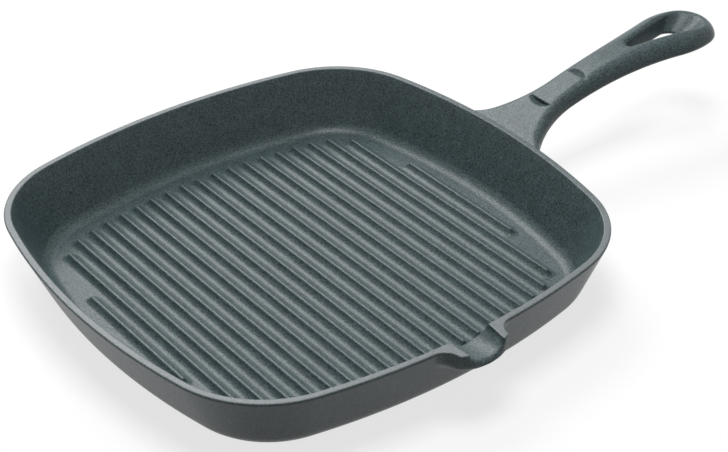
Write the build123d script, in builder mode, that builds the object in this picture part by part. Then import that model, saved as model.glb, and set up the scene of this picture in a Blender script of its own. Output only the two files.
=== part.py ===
"""Square cast-iron grill pan with a ribbed floor, a pouring lip and an arched handle.

Millimetres, +Z up. The origin is the centre of the underside, on the surface that the pan
stands on. The handle points along +X and the pouring lip faces -Y.
The real pan is one casting. Its regions are separate solids that meet face to face.
"""
import os
from math import asin, atan2, cos, degrees, radians, sin, sqrt, tan

from build123d import *

# Rim and side wall
rim_width = 260.0
pan_height = 36.5
side_bow_radius = 353.0
rim_corner_radius = 58.0
rim_land = 4.0
wall_draft = 22.4
floor_thickness = 4.3
outer_base_radius = 13.5
inner_base_radius = 9.0

# Grill ribs
rib_pitch = 9.84
rib_width = 4.4
rib_height = 3.1
rib_draft = 18.0
rib_crest_bevel = 0.7
rib_end_bevel = 1.4
rib_end_gap = 12.0

# Pouring lip
lip_width = 28.0
lip_reach = 10.7
lip_front_radius = 30.0
lip_flare_radius = 6.0
horn_corner_radius = 1.5
lip_spread = 40.0
lip_depth = 17.0
lip_front_depth = 7.2
lip_under_radius = 30.0
lip_edge_bevel = 1.0
channel_width = 21.0
channel_depth = 5.7
channel_slope = 10.0

# Handle
handle_reach = 145.5
handle_rise = 21.7
peak_end_gap = 30.0
root_width = 52.0
neck_width = 20.5
root_flare_radius = 54.0
root_depth = 9.5
root_drop = 0.5
eye_width = 37.8
eye_side_radius = 50.0
eye_thickness = 10.7
neck_bevel = 2.8
eye_bevel = 5.0
under_bevel = 2.0
second_bevel_share = 0.35
section_count = 11

# Dished hanging hole in the eye of the handle
dish_width = 23.0
dish_length = 57.0
dish_end_land = 5.0
hole_width = 13.0
hole_length = 34.0
hole_end_land = 21.0
dish_tip_radius = 3.0
hole_tip_radius = 2.0

# Grip recesses across the top of the handle
recess_width = 4.2
recess_length = 16.0
recess_depth = 1.8
first_recess_place = 23.5
second_recess_place = 48.0

# Overrun of every cutting form past the faces that it cuts
overrun = 5.0

os.makedirs("parts", exist_ok=True)


def wall_shift(depth):
    """How far the drafted wall has moved in at this depth below the rim."""
    return depth * tan(radians(wall_draft))


def bowed_square_sizes(inset):
    """Half width, side radius, corner radius and corner centre, parallel to the rim."""
    half = rim_width / 2 - inset
    bow = side_bow_radius - inset
    corner = rim_corner_radius - inset
    lean = bow - half
    corner_place = (sqrt(2 * (bow - corner) ** 2 - lean**2) - lean) / 2
    return half, bow, corner, corner_place


def bowed_square(inset):
    """Square with bowed sides and round corners, this far inside the rim's outline."""
    half, bow, corner, corner_place = bowed_square_sizes(inset)
    lean = bow - half
    side_angle = degrees(atan2(corner_place, corner_place + lean))
    with BuildSketch() as outline:
        with BuildLine():
            for turn in (0, 90, 180, 270):
                side_centre = Vector(-lean, 0).rotate(Axis.Z, turn)
                CenterArc(side_centre, bow, turn - side_angle, 2 * side_angle)
                corner_centre = Vector(corner_place, corner_place).rotate(Axis.Z, turn)
                CenterArc(corner_centre, corner, turn + side_angle, 90 - 2 * side_angle)
        make_face()
    return outline.sketch


def half_chord(inset, place):
    """Half the length of the line across the bowed square at this distance from its middle."""
    half, bow, corner, corner_place = bowed_square_sizes(inset)
    lean = bow - half
    side_angle = atan2(corner_place, corner_place + lean)
    if place <= bow * sin(side_angle):
        return sqrt(bow**2 - place**2) - lean
    if place <= corner_place + corner * cos(side_angle):
        return corner_place + sqrt(corner**2 - (place - corner_place) ** 2)
    return sqrt(bow**2 - (place + lean) ** 2)


# The pan's outer form, drafted from the rim down and rounded into the flat underside
with BuildPart() as outer_form:
    with BuildSketch(Plane.XY.offset(pan_height)):
        add(bowed_square(0))
    extrude(amount=-pan_height, taper=wall_draft)
    fillet(outer_form.faces().sort_by(Axis.Z)[0].edges(), outer_base_radius)

# The lip's channel: a round-bottomed trough that falls from the mouth into the pan
channel_radius = (channel_width**2 / 4 + channel_depth**2) / (2 * channel_depth)
channel_mouth = Plane(
    origin=(0, -rim_width / 2 - lip_reach, pan_height),
    x_dir=(1, 0, 0),
    z_dir=(0, -cos(radians(channel_slope)), sin(radians(channel_slope))),
)
with BuildPart() as channel_form:
    with BuildSketch(channel_mouth):
        with Locations((0, channel_radius - channel_depth)):
            Circle(channel_radius)
    extrude(amount=-lip_reach - 2 * rim_land - overrun)
    extrude(channel_form.faces().sort_by(Axis.Y)[0], amount=overrun)

# Pan body: flat base, drafted side wall with a round foot inside, and the flat rim land
with BuildPart() as pan_body:
    add(outer_form.part)
    with BuildSketch(Plane.XY.offset(pan_height)):
        add(bowed_square(rim_land))
    extrude(amount=floor_thickness - pan_height, taper=wall_draft, mode=Mode.SUBTRACT)
    floor_face = pan_body.faces().filter_by(Axis.Z).sort_by(Axis.Z)[1]
    fillet(floor_face.edges(), inner_base_radius)
    add(channel_form.part, mode=Mode.SUBTRACT)

# Grill ribs: drafted bars, bevelled at ends and crest, as long as the floor allows
rib_field_inset = rim_land + wall_shift(pan_height - floor_thickness) + rib_end_gap
rib_field_half = rim_width / 2 - rib_field_inset
ribs_each_side = int((rib_field_half - rib_width / 2) / rib_pitch)
with BuildPart() as grill_ribs:
    for rib in range(-ribs_each_side, ribs_each_side + 1):
        rib_place = rib * rib_pitch
        rib_reach = half_chord(rib_field_inset, abs(rib_place))
        with BuildSketch(Plane.XY.offset(floor_thickness)) as bar_plan:
            with Locations((rib_place, 0)):
                Rectangle(rib_width, 2 * rib_reach)
            chamfer(bar_plan.vertices(), rib_end_bevel)
        extrude(amount=rib_height, taper=rib_draft)
    crests = grill_ribs.faces().group_by(Axis.Z)[-1]
    chamfer(crests.edges(), rib_crest_bevel)

# Pouring lip: plan outline with flared sides, crossed with a side and a front outline
lip_front = -rim_width / 2 - lip_reach
front_sag = lip_front_radius - sqrt(lip_front_radius**2 - (lip_width / 2) ** 2)
horn_end = lip_front + front_sag
flare_line = -half_chord(0, lip_width / 2 + lip_flare_radius)
flare_end = lip_width / 2 + lip_flare_radius + overrun
root_line = -rim_width / 2 + wall_shift(lip_depth) + overrun
spread_radius = (lip_spread**2 / 4 + lip_depth**2) / (2 * lip_depth)
with BuildPart() as pouring_lip:
    with BuildSketch(Plane.XY.offset(pan_height)) as lip_plan:
        with BuildLine():
            ThreePointArc(
                (-lip_width / 2, horn_end), (0, lip_front), (lip_width / 2, horn_end)
            )
            Polyline(
                (lip_width / 2, horn_end),
                (lip_width / 2, flare_line),
                (flare_end, flare_line),
                (flare_end, root_line),
                (-flare_end, root_line),
                (-flare_end, flare_line),
                (-lip_width / 2, flare_line),
                (-lip_width / 2, horn_end),
            )
        make_face()
        flare_corners = lip_plan.vertices().filter_by_position(
            Axis.Y, flare_line, flare_line
        ).sort_by(lambda corner: abs(corner.X))[0:2]
        fillet(flare_corners, lip_flare_radius)
        horn_corners = lip_plan.vertices().filter_by_position(Axis.Y, horn_end, horn_end)
        fillet(horn_corners, horn_corner_radius)
    extrude(amount=-lip_depth)
    with BuildSketch(Plane.YZ):
        with BuildLine():
            Polyline(
                (lip_front, pan_height - lip_front_depth),
                (lip_front, pan_height),
                (root_line, pan_height),
                (root_line, pan_height - lip_depth),
            )
            RadiusArc(
                (root_line, pan_height - lip_depth),
                (lip_front, pan_height - lip_front_depth),
                lip_under_radius,
            )
        make_face()
    extrude(amount=lip_spread, both=True, mode=Mode.INTERSECT)
    top_face = pouring_lip.faces().sort_by(Axis.Z)[-1]
    chamfer(
        top_face.edges().filter_by(lambda edge: edge.center().Y < flare_line - lip_edge_bevel),
        lip_edge_bevel,
    )
    with BuildSketch(Plane.XZ):
        with Locations((0, pan_height + spread_radius - lip_depth)):
            Circle(spread_radius)
    extrude(amount=rim_width, mode=Mode.INTERSECT)
    add(outer_form.part, mode=Mode.SUBTRACT)
    add(channel_form.part, mode=Mode.SUBTRACT)

# Handle: bevelled sections lofted along the arch, and the last one turned about the eye
rim_x = rim_width / 2
flare_rise = (root_width - neck_width) / 2
neck_x = rim_x + sqrt(root_flare_radius**2 - (root_flare_radius - flare_rise) ** 2)
handle_end = rim_x + handle_reach
eye_radius = eye_width / 2
eye_x = handle_end - eye_radius
eye_widening = eye_radius - neck_width / 2
shank_radius = (
    ((eye_x - neck_x) ** 2 + eye_widening**2) / (2 * eye_widening) - eye_side_radius
)
side_turn_x = neck_x + (eye_x - neck_x) * shank_radius / (shank_radius + eye_side_radius)
handle_peak = handle_reach - peak_end_gap
peak_x = rim_x + handle_peak
peak_z = pan_height + handle_rise
under_z = peak_z - eye_thickness
under_rise = handle_rise - eye_thickness + root_depth
top_rise = handle_rise + root_drop
top_radius = (handle_peak**2 + top_rise**2) / (2 * top_rise)
under_radius = (handle_peak**2 + under_rise**2) / (2 * under_rise)


def arch(radius, height, x):
    """Height of an arch with its peak over the eye, at this place along the handle."""
    return height - radius + sqrt(radius**2 - (x - peak_x) ** 2)


def half_width(x):
    """Half width of the handle at this place: root flare, shank, then the eye's side."""
    if x < neck_x:
        flare = root_flare_radius - sqrt(root_flare_radius**2 - (neck_x - x) ** 2)
        return neck_width / 2 + flare
    if x < side_turn_x:
        return neck_width / 2 + shank_radius - sqrt(shank_radius**2 - (x - neck_x) ** 2)
    return eye_radius - eye_side_radius + sqrt(eye_side_radius**2 - (eye_x - x) ** 2)


def section_plane(x):
    """Plane square to the arch of the handle's top at this place."""
    lean = asin((peak_x - x) / top_radius)
    return Plane(
        origin=(x, 0, arch(top_radius, peak_z, x)),
        x_dir=(0, 1, 0),
        z_dir=(cos(lean), 0, sin(lean)),
    )


def handle_section(x):
    """Section of the handle, bevelled twice along its top edges and once along the lower ones."""
    lean = asin((peak_x - x) / top_radius)
    depth = (arch(top_radius, peak_z, x) - arch(under_radius, under_z, x)) * cos(lean)
    along = min(max((x - neck_x) / (eye_x - neck_x), 0), 1)
    blend = along**2 * (3 - 2 * along)
    with BuildSketch(section_plane(x)) as section:
        with Locations((0, -depth / 2)):
            Rectangle(2 * half_width(x + depth / 2 * sin(lean)), depth)
        corners = section.vertices().group_by(Axis.Y)
        top_bevel = neck_bevel + (eye_bevel - neck_bevel) * blend
        chamfer(corners[0], under_bevel)
        chamfer(corners[-1], top_bevel)
        bevel_ends = section.vertices().group_by(Axis.Y)[-2:]
        chamfer(bevel_ends[0] + bevel_ends[1], second_bevel_share * top_bevel)
    return section.sketch


def eye_outline(height):
    """Teardrop section of the dished eye at this height: the hole below, the dish above."""
    share = (height - under_z) / eye_thickness
    end_x = handle_end - hole_end_land + share * (hole_end_land - dish_end_land)
    wide_radius = (hole_width + share * (dish_width - hole_width)) / 2
    length = hole_length + share * (dish_length - hole_length)
    tip_radius = hole_tip_radius + share * (dish_tip_radius - hole_tip_radius)
    wide_x = end_x - wide_radius
    tip_x = end_x - length + tip_radius
    lean = (wide_radius - tip_radius) / (wide_x - tip_x)
    rise = sqrt(1 - lean**2)
    wide_point = (wide_x - wide_radius * lean, wide_radius * rise)
    tip_point = (tip_x - tip_radius * lean, tip_radius * rise)
    with BuildSketch(Plane.XY.offset(height)) as outline:
        with BuildLine():
            ThreePointArc(
                (wide_point[0], -wide_point[1]), (wide_x + wide_radius, 0), wide_point
            )
            Line(wide_point, tip_point)
            ThreePointArc(
                tip_point, (tip_x - tip_radius, 0), (tip_point[0], -tip_point[1])
            )
            Line((tip_point[0], -tip_point[1]), (wide_point[0], -wide_point[1]))
        make_face()
    return outline.sketch


# The dished eye: one ruled opening from a wide teardrop on top to a small one below
with BuildPart() as eye_opening:
    add(eye_outline(under_z - overrun))
    add(eye_outline(peak_z + overrun))
    loft(ruled=True)


def recess(place, side):
    """Half-moon scoop in the handle's top, its straight edge across the handle at this place."""
    edge_x = rim_x + place
    edge_z = arch(top_radius, peak_z, edge_x)
    top_way = Vector(edge_x - peak_x, 0, edge_z - peak_z + top_radius).normalized()
    along_way = Vector(top_way.Z, 0, -top_way.X)
    scoop_circle = (recess_length**2 / 4 + recess_width**2) / (2 * recess_width)
    scoop_lean = scoop_circle - recess_width
    scoop_reach = (recess_length**2 / (4 * recess_depth) + recess_depth) / 2
    scoop_radius = sqrt(scoop_reach**2 + scoop_lean**2)
    scoop_height = scoop_reach - recess_depth
    surface = Plane(origin=(edge_x, 0, edge_z), x_dir=along_way, z_dir=top_way)
    with BuildPart(surface) as scoop:
        with Locations((side * scoop_lean, 0, scoop_height)):
            Sphere(scoop_radius, rotation=(0, 0, 90))
        split(bisect_by=Plane(surface.origin, z_dir=along_way * -side), keep=Keep.TOP)
    return scoop.part


root_start = rim_x - root_depth
with BuildPart() as handle:
    for step in range(section_count):
        section_x = root_start + (eye_x - root_start) * step / (section_count - 1)
        add(handle_section(section_x))
    loft()
    eye_plane = section_plane(eye_x)
    add(split(handle_section(eye_x), Plane.XZ, keep=Keep.TOP, mode=Mode.PRIVATE))
    revolve(axis=Axis(eye_plane.origin, eye_plane.y_dir), revolution_arc=180)
    add(outer_form.part, mode=Mode.SUBTRACT)
    add(eye_opening.part, mode=Mode.SUBTRACT)
    add(recess(first_recess_place, 1), mode=Mode.SUBTRACT)
    add(recess(second_recess_place, -1), mode=Mode.SUBTRACT)

for piece, name in (
    (pan_body, "pan_body"),
    (grill_ribs, "grill_ribs"),
    (pouring_lip, "pouring_lip"),
    (handle, "handle"),
):
    piece.part.label = name
    export_step(piece.part, f"parts/{name}.step")
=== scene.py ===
"""Looks of the square cast-iron grill pan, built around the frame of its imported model.

Sizes are real ones in millimetres, and the overall sizes come from the frame's boxes.
The origin is the middle of the underside, the handle points along +X, the lip faces -Y.
"""
from math import asin, atan2, cos, hypot, pi, radians, sin, sqrt, tan

import bpy
import numpy as np
from mathutils import Matrix, Vector


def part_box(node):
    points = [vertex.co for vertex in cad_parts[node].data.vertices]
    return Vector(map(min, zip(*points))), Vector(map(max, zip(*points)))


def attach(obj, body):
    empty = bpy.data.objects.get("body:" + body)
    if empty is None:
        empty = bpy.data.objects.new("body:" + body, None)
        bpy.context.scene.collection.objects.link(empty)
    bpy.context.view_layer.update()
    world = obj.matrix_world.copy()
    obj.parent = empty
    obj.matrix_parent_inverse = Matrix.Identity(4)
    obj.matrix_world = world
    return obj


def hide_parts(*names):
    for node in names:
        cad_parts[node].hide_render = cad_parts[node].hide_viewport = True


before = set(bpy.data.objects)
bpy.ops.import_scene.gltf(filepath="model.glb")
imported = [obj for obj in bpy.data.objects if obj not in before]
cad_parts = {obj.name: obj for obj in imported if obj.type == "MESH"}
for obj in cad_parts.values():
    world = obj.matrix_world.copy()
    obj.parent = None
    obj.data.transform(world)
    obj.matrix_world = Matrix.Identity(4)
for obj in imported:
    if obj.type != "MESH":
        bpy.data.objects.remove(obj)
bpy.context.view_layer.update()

MM = 0.001

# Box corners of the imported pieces, in millimetres
body_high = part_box("pan_body")[1] / MM
lip_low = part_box("pouring_lip")[0] / MM
rib_low, rib_high = (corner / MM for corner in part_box("grill_ribs"))
handle_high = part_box("handle")[1] / MM

# Rim and side wall: a square with bowed sides, whose wall leans in towards the base
pan_height = body_high.z
rim_half = body_high.x
side_bow_radius = 353.0
rim_corner_radius = 58.0
rim_land = 4.0
rim_outer_edge = 0.9
rim_inner_edge = 0.8
wall_draft = radians(22.4)
floor_thickness = rib_low.z
outer_base_radius = 13.5
inner_base_radius = 7.5
rim_step = 2.5

# Grill ribs, whose skirt runs on a little way under the floor's skin
rib_pitch = 9.84
rib_width = 4.4
rib_draft = radians(24.0)
rib_crest_radius = 1.0
rib_foot_radius = 3.9
rib_end_gap = 11.5
rib_sink = 0.1
rib_skirt = 1.0

# Pouring lip: a round front between two horns, with a channel that falls into the pan
lip_front = lip_low.y
lip_front_radius = 30.0
lip_depth = 17.0
lip_front_depth = 7.2
lip_front_share = 0.45
lip_swell_half = 23.76
lip_edge_radius = 2.2
horn_corner_radius = 1.5
flare_radius = 8.0
flare_place = 22.0
channel_half = 10.1
channel_shoulder = 0.4
channel_depth = 5.7
channel_slope = radians(10.0)
throat_share = 1.12

# Handle: its top and its underside are arcs that rise from the root to a peak in the eye
handle_end = handle_high.x
peak_z = handle_high.z
peak_end_gap = 29.9
root_drop = 0.1
root_depth = 9.5
root_fillet = 6.0
root_half = 36.0
root_low = 17.0
root_reach = 18.0
root_end_gap = 0.5
neck_place = 38.0
neck_width = 20.5
root_flare_radius = 54.0
eye_width = 38.0
eye_side_radius = 45.7
eye_end_radius = 17.8
eye_thickness = 10.7
neck_top_edge = 5.2
eye_top_edge = 9.3
neck_under_edge = 3.0
eye_under_edge = 3.2
handle_cell = 0.6

# Dished hanging hole
dish_width = 23.0
dish_length = 57.0
dish_end_land = 5.0
dish_tip_radius = 3.0
dish_edge_radius = 2.0
hole_width = 13.0
hole_length = 34.0
hole_end_land = 21.0
hole_tip_radius = 2.0

# Grip recesses
recess_width = 4.2
recess_length = 16.0
recess_depth = 2.6
recess_edge = 0.4
first_recess_place = 23.5
second_recess_place = 48.0

# Places and radii that follow from the handle's sizes
peak_x = handle_end - peak_end_gap
handle_peak = peak_x - rim_half
under_z = peak_z - eye_thickness
top_rise = peak_z - pan_height + root_drop
under_rise = under_z - pan_height + root_depth
top_radius = (handle_peak**2 + top_rise**2) / (2 * top_rise)
under_radius = (handle_peak**2 + under_rise**2) / (2 * under_rise)
neck_x = rim_half + neck_place
neck_half = neck_width / 2
eye_half = eye_width / 2
end_x = handle_end - eye_end_radius
eye_x = end_x - sqrt((eye_side_radius - eye_end_radius) ** 2 - (eye_side_radius - eye_half) ** 2)
widening = eye_half - neck_half
shank_radius = ((eye_x - neck_x) ** 2 + widening**2) / (2 * widening) - eye_side_radius


def wall_shift(depth):
    """How far the drafted wall has moved in at this depth below the rim."""
    return depth * tan(wall_draft)


def bowed_square_sizes(inset):
    """Side radius, corner radius, lean of the side centres and place of the corner centres."""
    bow = side_bow_radius - inset
    corner = rim_corner_radius - inset
    lean = side_bow_radius - rim_half
    corner_place = (sqrt(2 * (bow - corner) ** 2 - lean**2) - lean) / 2
    return bow, corner, lean, corner_place


def rim_line(places):
    """Points and outward normals of the rim's outline at these lengths from its lip side."""
    bow, corner, lean, corner_place = bowed_square_sizes(0)
    side_angle = atan2(corner_place, corner_place + lean)
    side_half = bow * side_angle
    quarter = 2 * side_half + corner * (pi / 2 - 2 * side_angle)
    turn = np.round(places / quarter)
    along = places - turn * quarter
    beyond = np.abs(along) > side_half
    sign = np.sign(along)
    side_turn = along / bow
    corner_turn = sign * (side_angle + (np.abs(along) - side_half) / corner)
    angle = np.where(beyond, corner_turn, side_turn)
    radius = np.where(beyond, corner, bow)
    across = np.where(beyond, sign * corner_place, 0) + radius * np.sin(angle)
    outward = np.where(beyond, corner_place, -lean) + radius * np.cos(angle)
    spin = turn * pi / 2
    point = np.stack(
        [
            across * np.cos(spin) + outward * np.sin(spin),
            across * np.sin(spin) - outward * np.cos(spin),
        ],
        axis=1,
    )
    normal = np.stack([np.sin(angle + spin), -np.cos(angle + spin)], axis=1)
    return point, normal, 4 * quarter


def half_chord(inset, place):
    """Half the length of the line across the bowed square at this distance from its middle."""
    bow, corner, lean, corner_place = bowed_square_sizes(inset)
    side_angle = atan2(corner_place, corner_place + lean)
    if place <= bow * sin(side_angle):
        return sqrt(bow**2 - place**2) - lean
    if place <= corner_place + corner * cos(side_angle):
        return corner_place + sqrt(corner**2 - (place - corner_place) ** 2)
    return sqrt(bow**2 - (place + lean) ** 2)


def smooth_step(share):
    """Runs from 0 to 1 with level ends."""
    share = np.clip(share, 0, 1)
    return share * share * (3 - 2 * share)


def mesh_piece(name, points, faces):
    """A mesh object from points in millimetres, with smooth shading."""
    mesh = bpy.data.meshes.new(name)
    mesh.from_pydata((np.asarray(points) * MM).tolist(), [], faces)
    mesh.validate()
    mesh.polygons.foreach_set("use_smooth", [True] * len(mesh.polygons))
    piece = bpy.data.objects.new(name, mesh)
    bpy.context.scene.collection.objects.link(piece)
    return piece


def ring_faces(rows, columns):
    """Quads between closed rings of points, plus one face over each end ring."""
    faces = []
    for start in range(0, (rows - 1) * columns, columns):
        above = start + columns
        for column in range(columns):
            after = (column + 1) % columns
            faces.append((start + column, start + after, above + after, above + column))
    faces.append(tuple(reversed(range(columns))))
    faces.append(tuple(range((rows - 1) * columns, rows * columns)))
    return faces


def lip_columns():
    """The lip's right half: edge points and normals, drop, place on the rim, uprightness.

    Drop is the depth below the rim. Uprightness is 1 where the side stands straight and 0 where
    it has the wall's draft.
    """
    channel_steps, shoulder_steps, horn_steps, corner_steps, flare_steps = 12, 5, 3, 6, 14

    # Centres of the round front, the flare, and the horn's corner that touches them both
    front_centre = np.array([0.0, lip_front + lip_front_radius])
    lean = side_bow_radius - rim_half
    flare_reach = side_bow_radius + flare_radius
    flare_centre = np.array([flare_place, lean - sqrt(flare_reach**2 - flare_place**2)])
    away = flare_centre - front_centre
    gap = hypot(*away)
    front_arm = lip_front_radius - horn_corner_radius
    flare_arm = flare_radius + horn_corner_radius
    along = (front_arm**2 - flare_arm**2 + gap**2) / (2 * gap)
    aside = sqrt(front_arm**2 - along**2)
    away = away / gap
    corner_centre = front_centre + along * away + aside * np.array([away[1], -away[0]])

    columns = []

    def front_point(across, drop):
        sine = across / lip_front_radius
        normal = np.array([sine, -sqrt(1 - sine**2)])
        columns.append((front_centre + lip_front_radius * normal, normal, drop, 1.0))

    # Channel, its shoulder, and the front of the horn
    for step in range(channel_steps + 1):
        turn = step / channel_steps * pi / 2
        drop = channel_shoulder + (channel_depth - channel_shoulder) * cos(turn)
        front_point(channel_half * sin(turn), drop)
    for step in range(1, shoulder_steps + 1):
        turn = step / shoulder_steps * pi / 2
        across = channel_half + channel_shoulder * (1 - cos(turn))
        front_point(across, channel_shoulder * (1 - sin(turn)))
    corner_way = corner_centre - front_centre
    corner_start = atan2(corner_way[0], -corner_way[1])
    horn_start = asin((channel_half + channel_shoulder) / lip_front_radius)
    for step in range(1, horn_steps):
        turn = horn_start + step / horn_steps * (corner_start - horn_start)
        front_point(lip_front_radius * sin(turn), 0.0)

    # Round corner of the horn, and the hollow flare back to the rim
    flare_way = flare_centre - corner_centre
    corner_end = atan2(flare_way[0], -flare_way[1])
    for step in range(corner_steps + 1):
        turn = corner_start + step / corner_steps * (corner_end - corner_start)
        normal = np.array([sin(turn), -cos(turn)])
        columns.append((corner_centre + horn_corner_radius * normal, normal, 0.0, 1.0))
    rim_way = np.array([0.0, lean]) - flare_centre
    flare_end = atan2(-rim_way[0], rim_way[1])
    for step in range(1, flare_steps + 1):
        share = step / flare_steps
        turn = corner_end + share * (flare_end - corner_end)
        normal = np.array([sin(turn), -cos(turn)])
        upright = 1 - smooth_step(share)
        columns.append((flare_centre - flare_radius * normal, normal, 0.0, upright))

    # Places on the rim: wider than the mouth at the channel's throat, in step with the edge past it
    edge, normal, drop, upright = (np.array(values) for values in zip(*columns))
    channel_end = channel_steps + shoulder_steps
    run = np.concatenate([[0], np.cumsum(np.hypot(*np.diff(edge[channel_end:], axis=0).T))])
    across = edge[:, 0] * throat_share
    throat = across[channel_end]
    across[channel_end:] = throat + (edge[-1, 0] - throat) * run / run[-1]
    places = side_bow_radius * np.arcsin(across / side_bow_radius)
    return edge, normal, drop, places, upright


def pan_columns():
    """Every column of the pan's skin, round the rim from the middle of the lip.

    For each: point and normal of the plain rim, point and normal of the edge, drop, uprightness,
    and the distance from the lip's middle, which stops growing at the lip's end.
    """
    edge, edge_normal, drop, places, upright = lip_columns()
    outline_length = rim_line(places)[2]
    free = outline_length - 2 * places[-1]
    count = int(free / rim_step)
    free_places = places[-1] + free * np.arange(1, count) / count
    mirror = np.array([-1.0, 1.0])
    back = slice(None, 0, -1)
    all_places = np.concatenate([places, free_places, outline_length - places[back]])
    rim_point, rim_normal, _ = rim_line(all_places)
    free_range = slice(len(places), len(places) + count - 1)
    all_edge = np.concatenate([edge, rim_point[free_range], edge[back] * mirror])
    all_normal = np.concatenate([edge_normal, rim_normal[free_range], edge_normal[back] * mirror])
    rest = np.zeros(count - 1)
    all_drop = np.concatenate([drop, rest, drop[back]])
    all_upright = np.concatenate([upright, rest, upright[back]])
    across = np.concatenate([places, rest + places[-1], places[back]])
    return rim_point, rim_normal, all_edge, all_normal, all_drop, all_upright, across


def make_pan():
    """The pan with its lip, as one skin of rings from the underside over the rim to the floor."""
    rim_point, rim_normal, edge, edge_normal, drop, upright, across = pan_columns()
    foot_steps, wall_steps, edge_steps, land_steps, inner_steps = 10, 22, 6, 8, 6
    rows = []

    def add_row(plan, height):
        rows.append(np.column_stack([plan, np.broadcast_to(height, len(plan))]))

    def from_rim(outward, height):
        add_row(rim_point + rim_normal * np.reshape(outward, (-1, 1)), height)

    # Rounded foot outside, from the flat underside up to the drafted wall
    foot_out = -wall_shift(pan_height) - outer_base_radius * (1 - sin(wall_draft)) / cos(wall_draft)
    for step in range(foot_steps + 1):
        turn = -pi / 2 + step / foot_steps * (pi / 2 - wall_draft)
        outward = foot_out + outer_base_radius * cos(turn)
        from_rim(np.full(len(drop), outward), outer_base_radius * (1 + sin(turn)))

    # Outer wall, which swells into the lip below the pouring edge, with more rows near the top
    row_crowding = 0.7
    widest_share = 0.98
    bottom_depth = pan_height - outer_base_radius * (1 - sin(wall_draft))
    lip_share = drop / channel_depth
    edge_radius = rim_outer_edge + (lip_edge_radius - rim_outer_edge) * lip_share
    edge_lean = wall_draft * (1 - upright)
    top_depth = drop + edge_radius * (1 + np.sin(edge_lean))
    low_depth = lip_depth * np.sqrt(1 - np.minimum(across / lip_swell_half, widest_share) ** 2)
    high_depth = np.minimum(lip_front_depth, low_depth * lip_front_share)
    for step in range(1, wall_steps):
        share = (step / wall_steps) ** row_crowding
        depth = bottom_depth + (top_depth - bottom_depth) * share
        belly = (depth - high_depth) / (low_depth - high_depth)
        push = np.cos(np.clip(belly, 0, 1) * pi / 2) ** 2
        wall = rim_point - rim_normal * wall_shift(depth)[:, None]
        stand = edge - rim_point + rim_normal * (wall_shift(depth) * upright)[:, None]
        add_row(wall + stand * push[:, None], pan_height - depth)

    # Rounded outer edge of the rim and the lip
    slope = channel_slope * lip_share
    centre_out = -edge_radius * (1 + np.sin(edge_lean)) / np.cos(edge_lean)
    for step in range(edge_steps + 1):
        turn = -edge_lean + step / edge_steps * (pi / 2 + slope + edge_lean)
        outward = centre_out + edge_radius * np.cos(turn)
        height = pan_height - drop - edge_radius * (1 - np.sin(turn))
        add_row(edge + edge_normal * outward[:, None], height)
    land_start = rows[-1]

    # Rounded inner edge, lower where the channel runs into the pan
    reach = np.hypot(*(edge - rim_point).T) + rim_land
    inner_drop = drop + np.tan(slope) * reach
    inner_out = -rim_land - wall_shift(inner_drop)
    inner_centre = inner_out + rim_inner_edge * (1 - sin(wall_draft)) / cos(wall_draft)
    inner_rows = []
    for step in range(edge_steps + 1):
        turn = pi / 2 + slope + step / edge_steps * (pi / 2 - wall_draft - slope)
        outward = inner_centre + rim_inner_edge * np.cos(turn)
        height = pan_height - inner_drop - rim_inner_edge * (1 - np.sin(turn))
        plan = rim_point + rim_normal * outward[:, None]
        inner_rows.append(np.column_stack([plan, height]))

    # Land of the rim, and floor of the channel, between the two edges
    for step in range(1, land_steps):
        rows.append(land_start + (inner_rows[0] - land_start) * step / land_steps)
    rows.extend(inner_rows)

    # Inner wall down to its round foot, and the foot to the floor
    foot_height = floor_thickness + inner_base_radius
    foot_in = -rim_land - wall_shift(pan_height - foot_height) - inner_base_radius / cos(wall_draft)
    foot_top = np.column_stack(
        [
            rim_point + rim_normal * (foot_in + inner_base_radius * cos(wall_draft)),
            np.full(len(drop), foot_height - inner_base_radius * sin(wall_draft)),
        ]
    )
    wall_top = rows[-1]
    for step in range(1, inner_steps):
        rows.append(wall_top + (foot_top - wall_top) * step / inner_steps)
    for step in range(foot_steps + 1):
        turn = wall_draft + step / foot_steps * (pi / 2 - wall_draft)
        outward = foot_in + inner_base_radius * cos(turn)
        from_rim(np.full(len(drop), outward), foot_height - inner_base_radius * sin(turn))

    faces = ring_faces(len(rows), len(drop))
    return mesh_piece("pan_with_lip", np.concatenate(rows), faces)


def rib_rings():
    """Half width and height of each ring of a rib, from under the floor up to the crest."""
    steps = 5
    foot_centre = rib_width / 2 + rib_foot_radius * (1 - sin(rib_draft)) / cos(rib_draft)
    rings = [(foot_centre + rib_skirt, floor_thickness - rib_sink)]
    for step in range(steps + 1):
        turn = pi / 2 - step / steps * (pi / 2 - rib_draft)
        rings.append(
            (
                foot_centre - rib_foot_radius * cos(turn),
                floor_thickness + rib_foot_radius * (1 - sin(turn)),
            )
        )
    crest_z = rib_high.z - rib_crest_radius
    crest_lean = tan(rib_draft) * (crest_z - floor_thickness)
    crest_centre = rib_width / 2 - crest_lean - rib_crest_radius / cos(rib_draft)
    for step in range(steps + 1):
        turn = rib_draft + step / steps * (pi / 2 - rib_draft)
        rings.append(
            (crest_centre + rib_crest_radius * cos(turn), crest_z + rib_crest_radius * sin(turn))
        )
    return rings


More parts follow.
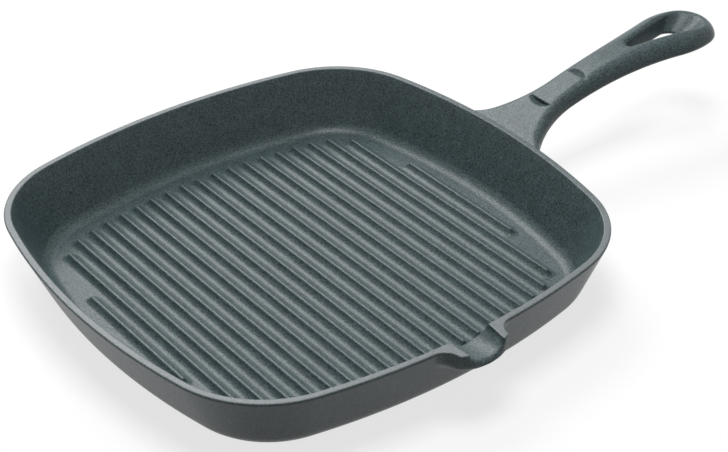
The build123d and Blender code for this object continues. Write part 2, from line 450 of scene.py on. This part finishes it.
def make_rib(name, place, half_length):
    """One rib: rings of a round-ended bar, from its foot to its crest."""
    rings = rib_rings()
    end_place = half_length - rib_width / 2
    end_steps = 10
    span_length = 12
    span_steps = max(2, int(end_place / span_length))
    plan = []
    for step in range(end_steps + 1):
        turn = step / end_steps * pi
        plan.append((cos(turn), sin(turn), end_place))
    for step in range(1, span_steps):
        plan.append((-1.0, 0.0, end_place * (1 - 2 * step / span_steps)))
    for step in range(end_steps + 1):
        turn = pi + step / end_steps * pi
        plan.append((cos(turn), sin(turn), -end_place))
    for step in range(1, span_steps):
        plan.append((1.0, 0.0, -end_place * (1 - 2 * step / span_steps)))
    points = [
        (place + width * across, width * along + middle, height)
        for width, height in rings
        for across, along, middle in plan
    ]
    return mesh_piece(name, points, ring_faces(len(rings), len(plan)))


def make_ribs():
    """All ribs, as long as the floor allows at each place."""
    inset = rim_land + wall_shift(pan_height - floor_thickness) + rib_end_gap
    each_side = int((rim_half - inset - rib_width / 2) / rib_pitch)
    pieces = []
    for rib in range(-each_side, each_side + 1):
        place = rib * rib_pitch
        name = f"rib_{rib + each_side + 1:02d}"
        pieces.append(make_rib(name, place, half_chord(inset, abs(place))))
    return pieces


def rounded_meet(first, second, radius):
    """Distance to the overlap of two forms, its edge rounded to this radius."""
    inner = np.minimum(np.maximum(first, second), -radius)
    return inner + np.hypot(np.maximum(first + radius, 0), np.maximum(second + radius, 0))


def filleted_join(first, second, radius):
    """Distance to two forms together, with a fillet of this radius where they meet."""
    outer = np.maximum(np.minimum(first, second), radius)
    return outer - np.hypot(np.maximum(radius - first, 0), np.maximum(radius - second, 0))


def past_line(x, side, start, end):
    """Which points lie on the far side of the line from one centre to another."""
    return (end[0] - start[0]) * (side - start[1]) < (end[1] - start[1]) * (x - start[0])


def plan_distance(x, y):
    """Distance to the handle's outline from above: root flare, shank, eye side and round end."""
    side = np.abs(y)
    flare_centre = (neck_x, neck_half + root_flare_radius)
    shank_centre = (neck_x, neck_half + shank_radius)
    side_centre = (eye_x, eye_half - eye_side_radius)
    end_centre = (end_x, 0.0)
    flare = root_flare_radius - np.hypot(x - flare_centre[0], side - flare_centre[1])
    shank = shank_radius - np.hypot(x - shank_centre[0], side - shank_centre[1])
    eye = np.hypot(x - side_centre[0], side - side_centre[1]) - eye_side_radius
    end = np.hypot(x - end_centre[0], side) - eye_end_radius
    in_eye = past_line(x, side, side_centre, shank_centre)
    at_end = past_line(x, side, side_centre, end_centre)
    return np.where(x < neck_x, flare, np.where(at_end, end, np.where(in_eye, eye, shank)))


def eye_distance(x, y, z):
    """Distance to the dished hole: a teardrop that is wide on top and small below."""
    run_on = 0.3
    share = np.clip((z - under_z) / eye_thickness, -run_on, 1 + run_on)
    end_x = handle_end - hole_end_land + share * (hole_end_land - dish_end_land)
    wide_radius = (hole_width + share * (dish_width - hole_width)) / 2
    length = hole_length + share * (dish_length - hole_length)
    tip_radius = hole_tip_radius + share * (dish_tip_radius - hole_tip_radius)
    wide_x = end_x - wide_radius
    span = wide_x - (end_x - length + tip_radius)
    lean = (wide_radius - tip_radius) / span
    rise = np.sqrt(1 - lean**2)
    back = wide_x - x
    side = np.abs(y)
    along = rise * back - lean * side
    wide = np.hypot(back, side) - wide_radius
    tip = np.hypot(back - span, side) - tip_radius
    flank = side * rise + back * lean - wide_radius
    return np.where(along < 0, wide, np.where(along > rise * span, tip, flank))


def recess_distance(x, y, z, place, side):
    """Distance to a half-moon scoop with its straight edge across the handle at this place."""
    edge_x = rim_half + place
    centre_z = peak_z - top_radius
    edge_z = centre_z + sqrt(top_radius**2 - (edge_x - peak_x) ** 2)
    up_x = (edge_x - peak_x) / top_radius
    up_z = (edge_z - centre_z) / top_radius
    along = (x - edge_x) * up_z - (z - edge_z) * up_x
    above = (x - edge_x) * up_x + (z - edge_z) * up_z
    circle = (recess_length**2 / 4 + recess_width**2) / (2 * recess_width)
    lean = circle - recess_width
    reach = (recess_length**2 / (4 * recess_depth) + recess_depth) / 2
    ball = np.sqrt((along - side * lean) ** 2 + y**2 + (above - reach + recess_depth) ** 2)
    return np.maximum(ball - hypot(reach, lean), side * along)


def handle_distance(x, y, z):
    """Distance to the handle with its root grown into the pan's wall."""
    to_eye = smooth_step((x - neck_x) / (peak_x - neck_x))
    top_edge = neck_top_edge + (eye_top_edge - neck_top_edge) * to_eye
    under_edge = neck_under_edge + (eye_under_edge - neck_under_edge) * to_eye
    top = np.hypot(x - peak_x, z - peak_z + top_radius) - top_radius
    under = under_radius - np.hypot(x - peak_x, z - under_z + under_radius)

    # The wall's own skin lies just outside this one, so that the fillet runs out on it
    under_skin = 0.1
    lean = side_bow_radius - rim_half
    outward = np.hypot(x + lean, y) - side_bow_radius + (pan_height - z) * tan(wall_draft)
    arm = rounded_meet(plan_distance(x, y), under, under_edge)
    arm = filleted_join(arm, outward * cos(wall_draft) + under_skin, root_fillet)
    arm = rounded_meet(arm, top, top_edge)

    # The dished hole, with its distance made true where its side slopes, and the recesses
    nudge = 0.05
    hole = eye_distance(x, y, z)
    climb = (eye_distance(x, y, z + nudge) - eye_distance(x, y, z - nudge)) / (2 * nudge)
    arm = rounded_meet(arm, -hole / np.sqrt(1 + climb**2), dish_edge_radius)
    for place, side in ((first_recess_place, 1), (second_recess_place, -1)):
        arm = rounded_meet(arm, -recess_distance(x, y, z, place, side), recess_edge)

    # The root ends inside the wall, just short of the pan's inner skin
    inside_wall = -(outward + rim_land - root_end_gap) * cos(wall_draft)
    cut = np.maximum(inside_wall, np.maximum(np.abs(y) - root_half, root_low - z))
    return np.maximum(arm, cut)


def skin_of(distance, low, high, cell):
    """Quads over the surface where the distance is zero, one point in each cell it crosses."""
    rounds = 4
    least_slope = 0.1
    nudge = cell / 10
    counts = np.ceil((high - low) / cell).astype(int) + 1
    axes = [low[axis] + cell * np.arange(counts[axis]) for axis in range(3)]
    x, y, z = np.meshgrid(*axes, indexing="ij")
    inside = distance(x, y, z) < 0
    cells = counts - 1
    filled = sum(
        inside[i : i + cells[0], j : j + cells[1], k : k + cells[2]].astype(int)
        for i in (0, 1)
        for j in (0, 1)
        for k in (0, 1)
    )
    crossed = (filled > 0) & (filled < 8)
    number = np.full(cells, -1)
    number[crossed] = np.arange(crossed.sum())

    # Each point starts in the middle of its cell and is pulled onto the surface
    point = low + cell * (np.argwhere(crossed) + 0.5)
    for _ in range(rounds):
        value = distance(*point.T)
        way = np.stack(
            [
                distance(*(point + nudge * axis).T) - distance(*(point - nudge * axis).T)
                for axis in np.eye(3)
            ],
            axis=1,
        ) / (2 * nudge)
        step = -way * (value / np.maximum((way**2).sum(1), least_slope))[:, None]
        point = point + np.clip(step, -cell, cell)

    # One quad across each grid edge that goes from inside to outside
    faces = []
    for axis in range(3):
        first, second = (axis + 1) % 3, (axis + 2) % 3
        here = np.moveaxis(inside, (axis, first, second), (0, 1, 2))
        numbers = np.moveaxis(number, (axis, first, second), (0, 1, 2))
        change = here[:-1, 1:-1, 1:-1] != here[1:, 1:-1, 1:-1]
        i, j, k = np.nonzero(change)
        corners = ((0, 0), (1, 0), (1, 1), (0, 1))
        quad = np.stack([numbers[i, j + right, k + up] for right, up in corners], axis=1)
        outward = here[i, j + 1, k + 1]
        quad[~outward] = quad[~outward][:, ::-1]
        faces.append(quad)
    return point, np.concatenate(faces)


def make_handle():
    """The handle as one rounded skin, with its dished eye, recesses and root fillet."""
    margin = 2 * handle_cell
    low = np.array([rim_half - root_reach, -root_half - margin, root_low - margin])
    high = np.array([handle_end + margin, root_half + margin, peak_z + margin])
    points, faces = skin_of(handle_distance, low, high, handle_cell)
    return mesh_piece("cast_handle", points, faces.tolist())


def linear(code):
    """A colour written as an sRGB hex value, in linear light."""
    parts = [int(code[place : place + 2], 16) / 255 for place in (1, 3, 5)]
    light = [part / 12.92 if part <= 0.04045 else ((part + 0.055) / 1.055) ** 2.4 for part in parts]
    return [*light, 1.0]


def add_node(tree, kind, settings=None, links=None):
    """One shader node, with values for its settings and sockets, and links into its sockets."""
    node = tree.nodes.new(kind)
    for key, value in (settings or {}).items():
        if hasattr(node, str(key)):
            setattr(node, key, value)
        else:
            node.inputs[key].default_value = value
    for key, source in (links or {}).items():
        tree.links.new(source, node.inputs[key])
    return node


def new_tree(name):
    """A new material and its node tree, with no nodes yet."""
    material = bpy.data.materials.new(name)
    material.use_nodes = True
    tree = material.node_tree
    tree.nodes.clear()
    return material, tree


def sand_cast_iron():
    """Grey iron cast in sand and oiled: a dim, cool grey that is speckled by the sand's grains.

    The oiled skin gives a low, broad sheen, and the rim's level land has a painted sheen:
    it is painted paler where it faces up. The grains, about 0.3 mm in the real skin, are drawn
    three times as coarse, so that they show.
    """
    grain_size = 0.9 * MM
    grain_height = 0.12 * MM
    blotch_size = 7 * MM
    rim_top = pan_height * MM
    material, tree = new_tree("sand_cast_iron")
    coordinates = add_node(tree, "ShaderNodeTexCoord")
    place = coordinates.outputs["Object"]

    # Dark iron with paler grains, in soft blotches of lighter and darker skin
    grain = add_node(
        tree,
        "ShaderNodeTexNoise",
        {"Scale": 1 / grain_size, "Detail": 2.0, "Roughness": 0.6},
        {"Vector": place},
    )
    blotch = add_node(
        tree,
        "ShaderNodeTexNoise",
        {"Scale": 1 / blotch_size, "Detail": 3.0, "Roughness": 0.55},
        {"Vector": place},
    )
    speckle = add_node(
        tree,
        "ShaderNodeMapRange",
        {"From Min": 0.3, "From Max": 0.7},
        {"Value": grain.outputs["Fac"]},
    )
    tone = add_node(
        tree,
        "ShaderNodeMix",
        {"data_type": "RGBA", 6: linear("#1f2b2d"), 7: linear("#5a6b6e")},
        {0: speckle.outputs[0]},
    )
    blotched = add_node(
        tree,
        "ShaderNodeMix",
        {"data_type": "RGBA", "blend_type": "SOFT_LIGHT", 0: 0.35},
        {6: tone.outputs[2], 7: blotch.outputs["Fac"]},
    )

    # Painted sheen: the level land of the rim and the lip's horns are painted paler where they face
    # up, less so towards the handle
    spot = add_node(tree, "ShaderNodeSeparateXYZ", links={"Vector": place})
    normal = coordinates.outputs["Normal"]
    facing = add_node(tree, "ShaderNodeSeparateXYZ", links={"Vector": normal})
    at_rim = add_node(
        tree,
        "ShaderNodeMapRange",
        {"From Min": rim_top - 0.8 * MM, "From Max": rim_top - 0.2 * MM},
        {"Value": spot.outputs["Z"]},
    )
    level = add_node(
        tree,
        "ShaderNodeMapRange",
        {"From Min": 0.6, "From Max": 0.95},
        {"Value": facing.outputs["Z"]},
    )
    off_handle = add_node(
        tree,
        "ShaderNodeMapRange",
        {"From Min": 110 * MM, "From Max": 135 * MM, "To Min": 0.52, "To Max": 0.0},
        {"Value": spot.outputs["X"]},
    )
    land = add_node(
        tree,
        "ShaderNodeMath",
        {"operation": "MULTIPLY"},
        {0: at_rim.outputs[0], 1: level.outputs[0]},
    )
    painted_sheen = add_node(
        tree,
        "ShaderNodeMath",
        {"operation": "MULTIPLY"},
        {0: land.outputs[0], 1: off_handle.outputs[0]},
    )
    # The painted sheen mixes a pale grey into the skin on the up-facing land of the rim
    skin = add_node(
        tree,
        "ShaderNodeMix",
        {"data_type": "RGBA", 7: linear("#8e9294")},
        {0: painted_sheen.outputs[0], 6: blotched.outputs[2]},
    )

    bump = add_node(
        tree,
        "ShaderNodeBump",
        {"Strength": 0.8, "Distance": grain_height},
        {"Height": grain.outputs["Fac"]},
    )
    shader = add_node(
        tree,
        "ShaderNodeBsdfPrincipled",
        {"Roughness": 0.35, "Specular IOR Level": 0.28, "IOR": 1.5},
        {"Base Color": skin.outputs[2], "Normal": bump.outputs["Normal"]},
    )
    add_node(tree, "ShaderNodeOutputMaterial", links={"Surface": shader.outputs["BSDF"]})
    return material


def seen_white(tree):
    """Light Path's share of rays that look at the backdrop: camera, glossy and transmission."""
    path = add_node(tree, "ShaderNodeLightPath")
    some = add_node(
        tree,
        "ShaderNodeMath",
        {"operation": "MAXIMUM"},
        {0: path.outputs["Is Camera Ray"], 1: path.outputs["Is Glossy Ray"]},
    )
    return add_node(
        tree,
        "ShaderNodeMath",
        {"operation": "MAXIMUM"},
        {0: some.outputs[0], 1: path.outputs["Is Transmission Ray"]},
    ).outputs[0]


def add_softbox(name, sides, watts, way, distance):
    """A rectangular lamp this far from the pan in metres, turned towards it."""
    light = bpy.data.lights.new(name, "AREA")
    light.shape = "RECTANGLE"
    light.size, light.size_y = sides
    light.energy = watts
    lamp = bpy.data.objects.new(name, light)
    lamp.location = way * distance
    lamp.rotation_euler = way.to_track_quat("Z", "Y").to_euler()
    bpy.context.scene.collection.objects.link(lamp)


def matt_white_board():
    """Matt white board: it takes the pan's shadow, and is lifted to white where it is seen."""
    material, tree = new_tree("matt_white_board")
    glow_strength = add_node(
        tree,
        "ShaderNodeMath",
        {"operation": "MULTIPLY", 1: 0.74},
        {0: seen_white(tree)},
    )
    board = add_node(tree, "ShaderNodeBsdfDiffuse", {"Color": linear("#909090")})
    glow = add_node(
        tree,
        "ShaderNodeEmission",
        {"Color": linear("#ffffff")},
        {"Strength": glow_strength.outputs[0]},
    )
    both = add_node(tree, "ShaderNodeAddShader", links={0: board.outputs[0], 1: glow.outputs[0]})
    add_node(tree, "ShaderNodeOutputMaterial", links={"Surface": both.outputs[0]})
    return material


def make_floor():
    """A pale floor, a hair below the pan so that the two skins don't share a plane."""
    half = 3000.0
    points = [(-half, -half, 0), (half, -half, 0), (half, half, 0), (-half, half, 0)]
    floor = mesh_piece("floor", points, [(0, 1, 2, 3)])
    floor.location.z = -0.02 * MM
    floor.data.materials.append(matt_white_board())


def make_surroundings():
    """A world that is white where it is seen, and only dimly lights the pan."""
    world = bpy.data.worlds.new("studio")
    world.use_nodes = True
    bpy.context.scene.world = world
    tree = world.node_tree
    tree.nodes.clear()
    level = add_node(
        tree,
        "ShaderNodeMapRange",
        {"To Min": 0.1, "To Max": 1.0},
        {"Value": seen_white(tree)},
    )
    back = add_node(
        tree,
        "ShaderNodeBackground",
        {"Color": linear("#ffffff")},
        {"Strength": level.outputs[0]},
    )
    add_node(tree, "ShaderNodeOutputWorld", links={"Surface": back.outputs[0]})


def make_lamps():
    """One softbox straight above, and a wide one behind that the level faces mirror."""
    above = Vector((0.0, 0.0, 1.0))
    add_softbox("overhead_softbox", sides=(0.6, 0.6), watts=10.5, way=above, distance=1.3)
    behind = Vector((0.16, 0.69, 0.70)).normalized()
    add_softbox("rear_softbox", sides=(1.4, 0.9), watts=30.0, way=behind, distance=2.2)


def make_camera():
    """The camera fitted to the rim, the ribs and the handle, for the image of 728 by 452."""
    azimuth = radians(-36.26)
    elevation = radians(33.53)
    roll = radians(-1.46)
    distance = 975.25
    target = Vector((48.22, 16.33, 0.0))
    focal_pixels = 1884.7
    image_width = 728
    back = Vector(
        (sin(azimuth) * cos(elevation), -cos(azimuth) * cos(elevation), sin(elevation))
    )
    right = (-back).cross(Vector((0, 0, 1))).normalized()
    up = right.cross(-back)
    turned_right = right * cos(roll) + up * sin(roll)
    turned_up = up * cos(roll) - right * sin(roll)
    data = bpy.data.cameras.new("camera")
    data.lens = data.sensor_width * focal_pixels / image_width
    data.clip_end = 20.0
    camera = bpy.data.objects.new("camera", data)
    pose = Matrix((turned_right, turned_up, back)).transposed().to_4x4()
    pose.translation = (target + back * distance) * MM
    camera.matrix_world = pose
    bpy.context.scene.collection.objects.link(camera)
    bpy.context.scene.camera = camera


iron = sand_cast_iron()
pan = make_pan()
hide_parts("pan_body", "pouring_lip")
ribs = make_ribs()
for rib in ribs:
    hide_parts("grill_ribs")
handle = make_handle()
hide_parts("handle")
for piece in [pan, *ribs, handle]:
    piece.data.materials.append(iron)
    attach(piece, "root")
make_floor()
make_surroundings()
make_lamps()
make_camera()
bpy.context.scene.view_settings.view_transform = "Standard"
